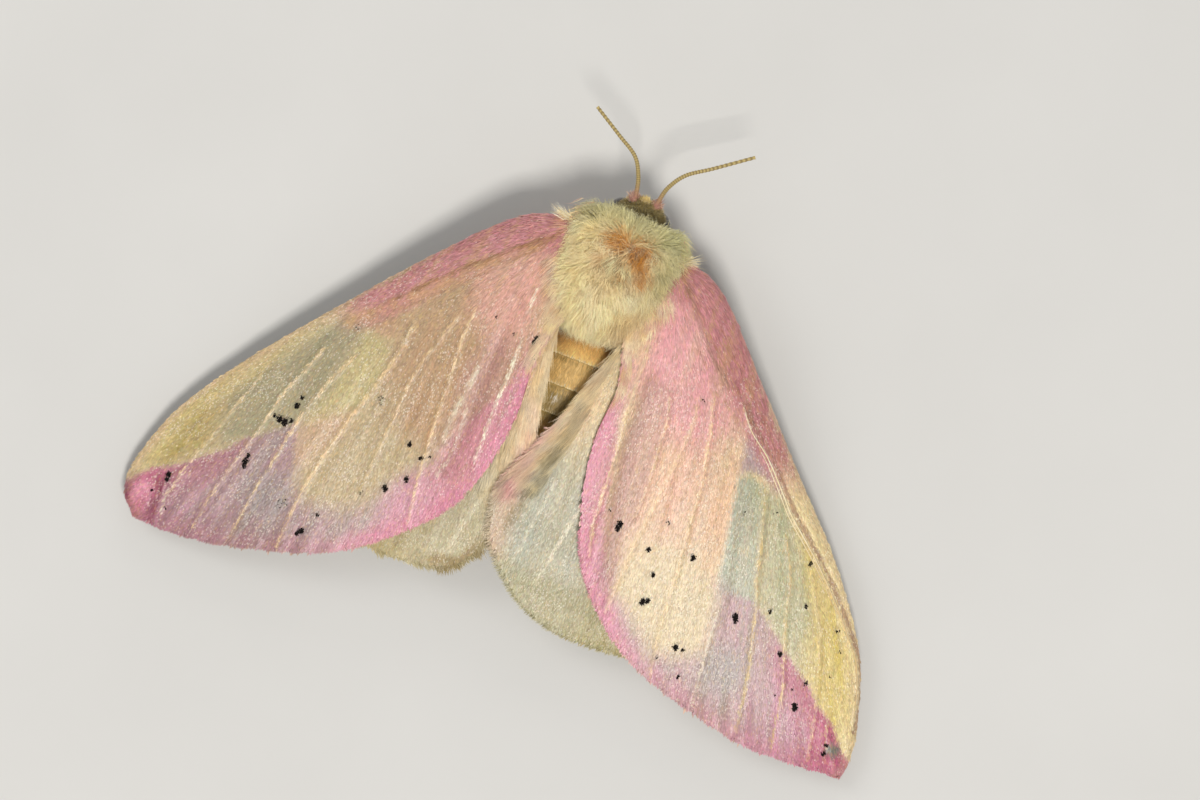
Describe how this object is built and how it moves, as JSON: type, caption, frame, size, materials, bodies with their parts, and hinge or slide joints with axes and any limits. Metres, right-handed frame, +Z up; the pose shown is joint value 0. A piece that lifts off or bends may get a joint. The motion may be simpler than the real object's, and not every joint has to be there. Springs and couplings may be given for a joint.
{
  "type": "rosy maple moth",
  "caption": "Female rosy maple moth at rest: woolly cream thorax, threadlike antennae, and pink and yellow wings held half spread over the abdomen.",
  "frame": {"origin": "under the middle of the outline, at the level that the feet stand on", "axes": "+X towards the moth's own left, +Y towards the tail, so that the head faces -Y, +Z up"},
  "size_m": [0.0336, 0.0242, 0.0065],
  "materials": {
    "thorax_wool": "long soft wool, cream with two orange patches",
    "face_wool": "short yellow wool",
    "abdomen_coat": "short flat hair with pale segment edges",
    "eye": "dark and glossy, finely faceted",
    "antenna": "matt tan, finely ringed",
    "forewing": "satin scales, pink with a cream and yellow band",
    "hindwing": "satin scales, cream with pink hair at the inner edge",
    "leg_coat": "short pink hair"
  },
  "bodies": {
    "root": {"thorax": "thorax_wool", "head": "face_wool", "abdomen": "abdomen_coat", "eye_left": "eye", "antenna_left": "antenna", "palp_left": "leg_coat", "leg_front_left": "leg_coat", "leg_middle_left": "leg_coat", "leg_hind_left": "leg_coat", "forewing_left": "forewing", "hindwing_left": "hindwing", "eye_right": "eye", "antenna_right": "antenna", "palp_right": "leg_coat", "leg_front_right": "leg_coat", "leg_middle_right": "leg_coat", "leg_hind_right": "leg_coat", "forewing_right": "forewing", "hindwing_right": "hindwing"}
  },
  "joints": []
}
